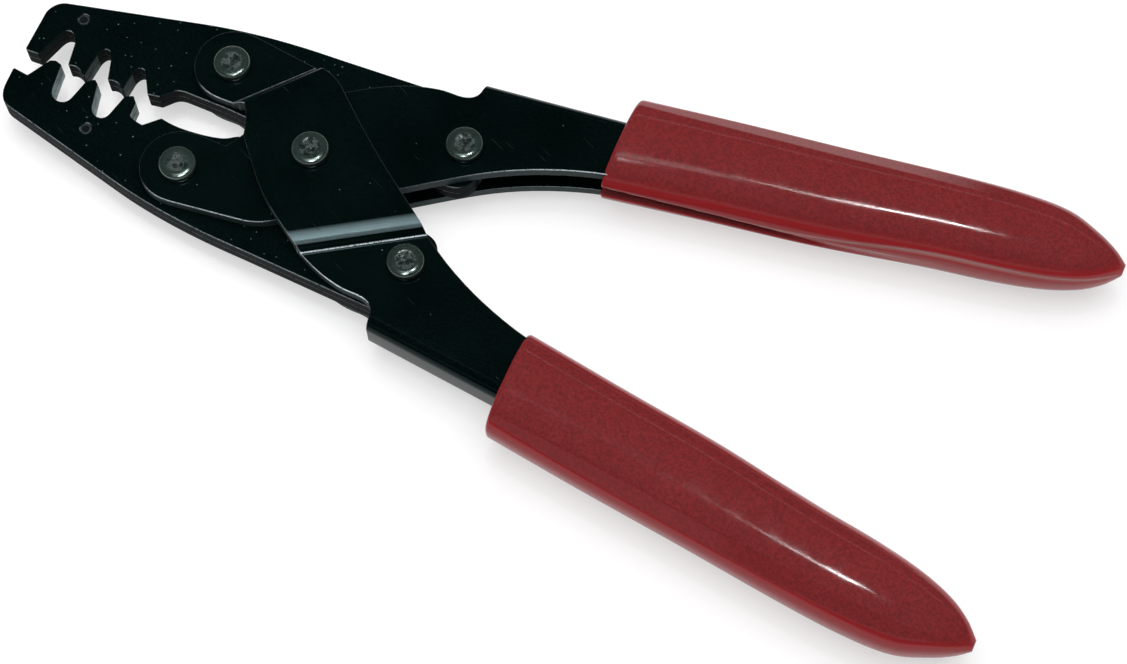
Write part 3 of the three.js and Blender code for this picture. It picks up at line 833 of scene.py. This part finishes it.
def grip(side_name, side):
    """A dipped grip: sections along its box, mirrored to the side that it lies on."""
    node = f"{side_name}_grip"
    low, high = box(node)
    size = high - low
    bm = new_body()
    wear = bm.verts.layers.float["wear"]
    rings = []
    for at in sorted(STATIONS):
        inner, outer, half = through(GRIP_ROWS, at)
        inner, outer, half = inner * size.y, outer * size.y, half * size.z / 2
        lip = LIP_ROUNDING * max(0, 1 - at / LIP_RUN) ** 2
        tilt = BEVEL_TILT - BEVEL_EASE * ramp((at - EASE_START) / EASE_RUN)
        # How far the superellipse reaches towards the bevel, less the bevel's depth.
        wide, high_up = (outer - inner) / 2 * math.sin(tilt), half * math.cos(tilt)
        dual = SQUARE / (SQUARE - 1)
        bevel = (wide**dual + high_up**dual) ** (1 / dual)
        bevel -= BEVEL_DEPTH * max(0, 1 - ((at - BEVEL_MIDDLE) / BEVEL_REACH) ** 2)
        ends = (inner + lip, outer - lip, half - lip)
        points = grip_section(*ends, through(PARTING_ROWS, at), tilt, bevel)
        x = low.x + at * size.x
        ring = []
        for y, z, dust in points:
            across = low.y + y if side > 0 else high.y - y
            vert = bm.verts.new((x, across, z))
            vert[wear] = dust
            ring.append(vert)
        rings.append(ring)
    for first, second in zip(rings, rings[1:]):
        for i in range(GRIP_POINTS):
            j = (i + 1) % GRIP_POINTS
            bm.faces.new((first[i], first[j], second[j], second[i]))
    bm.faces.new(rings[0])
    bm.faces.new(rings[-1])
    show(bm, f"fine_{node}", node, f"{side_name}_handle", RED_VINYL)


grip("upper", UPPER)
grip("lower", LOWER)

# ---- floor, light and camera ----
FLOOR_GREYS = (grey(0.46), grey(0.50))
FLOOR_GLOW = 0.56  # keeps the shadows on it soft and light
floor_mesh = bpy.data.meshes.new("floor")
reach = 3.0  # half of its side, in metres
corners = [(-reach, -reach, 0), (reach, -reach, 0), (reach, reach, 0), (-reach, reach, 0)]
floor_mesh.from_pydata(corners, [], [(0, 1, 2, 3)])
floor = bpy.data.objects.new("floor", floor_mesh)
bpy.context.scene.collection.objects.link(floor)
glow = {"Emission_Color": grey(1), "Emission_Strength": FLOOR_GLOW}
paper = Shader("pale_paper", Roughness=0.75, IOR=1.3, **glow)
floor_mesh.materials.append(paper.finish(Base_Color=paper.mix(paper.noise(0.02, 3), *FLOOR_GREYS)))


def area_light(name, position, target, size, watts, glossy=True, spread=180, turn=0.0):
    """A soft light; a light that isn't glossy lights the scene and shows in no reflection."""
    lamp = bpy.data.lights.new(name, "AREA")
    lamp.shape = "RECTANGLE"
    lamp.size, lamp.size_y = size
    lamp.energy = watts
    lamp.spread = math.radians(spread)
    light = bpy.data.objects.new(name, lamp)
    light.location = position
    aim = Vector(target) - Vector(position)
    facing = aim.to_track_quat("-Z", "Y").to_matrix()
    light.rotation_euler = (facing @ Matrix.Rotation(math.radians(turn), 3, "Z")).to_euler()
    light.visible_glossy = glossy
    bpy.context.scene.collection.objects.link(light)


# The lights' places and sizes are in metres.
centre = (cad_box[0] + cad_box[1]) / 2
grips = (0.1, 0, 0)
# the streak along each grip's top: a short bright core and a long faint halo
area_light("key_core", (-0.01, 0.6, 2.9), grips, (0.16, 0.06), 4.0)
area_light("key_halo", (-0.04, 0.6, 2.9), grips, (0.38, 0.04), 1.37)
# low above the jaws and the rivets, with a narrow spread, so that they hardly light the grips
jaws, rivets = Vector((-0.02, -0.008, 0)), Vector((-0.043, 0.036, 0))
area_light("jaw_card", jaws + Vector((0, 0, 0.4)), jaws, (0.06, 0.085), 0.006, spread=18)
area_light("rivet_card", rivets + Vector((0, 0, 0.35)), rivets, (0.18, 0.04), 0.0042, spread=36, turn=31)
# the front edges, the overall fill, and the thin line along the grips' far sides
area_light("front_card", (0.05, -1.0, 0.6), centre, (1.6, 0.25), 0.5)
area_light("soft_top", (0.05, 0.1, 1.1), centre, (1.4, 1.4), 17, glossy=False)
area_light("strip", (0.1, 0.8, 0.65), grips, (2.4, 0.014), 0.28)


def dark_room(horizon, horizon_height, above):
    """A world that is pale at the horizon and dark above it, which the glossy flats mirror."""
    world = bpy.data.worlds.new("studio")
    bpy.context.scene.world = world
    world.use_nodes = True
    tree = world.node_tree
    direction = tree.nodes.new("ShaderNodeTexCoord").outputs["Generated"]
    split = tree.nodes.new("ShaderNodeSeparateXYZ")
    tree.links.new(direction, split.inputs[0])
    fade = tree.nodes.new("ShaderNodeMapRange")
    fade.interpolation_type = "SMOOTHSTEP"
    tree.links.new(split.outputs["Z"], fade.inputs["Value"])
    fade.inputs["From Min"].default_value = 0.0
    fade.inputs["From Max"].default_value = horizon_height
    fade.inputs["To Min"].default_value = horizon
    fade.inputs["To Max"].default_value = above
    tree.links.new(fade.outputs["Result"], tree.nodes["Background"].inputs["Color"])


dark_room(horizon=0.85, horizon_height=0.12, above=0.02)

# The tool's own frame becomes the camera's by these turns, about Z, Y and then X, and this move.
CAMERA_TURNS = (("X", -0.4066), ("Y", -0.0244), ("Z", -0.4132))
CAMERA_MOVE = Vector((-46.973, 31.075, -549.722)) * MM
camera_data = bpy.data.cameras.new("camera")
camera_data.sensor_width = 36
camera_data.lens = 93.12
camera_data.clip_start, camera_data.clip_end = 0.01, 20
camera = bpy.data.objects.new("camera", camera_data)
bpy.context.scene.collection.objects.link(camera)
bpy.context.scene.camera = camera
to_camera = Matrix.Identity(3)
for axis, angle in CAMERA_TURNS:
    to_camera = to_camera @ Matrix.Rotation(angle, 3, axis)
from_camera = to_camera.transposed()
position = Vector((0, 0, MIDDLE)) - from_camera @ CAMERA_MOVE
camera.matrix_world = Matrix.Translation(position) @ from_camera.to_4x4()

bpy.context.scene.view_settings.view_transform = "Standard"

bpy.context.view_layer.update()
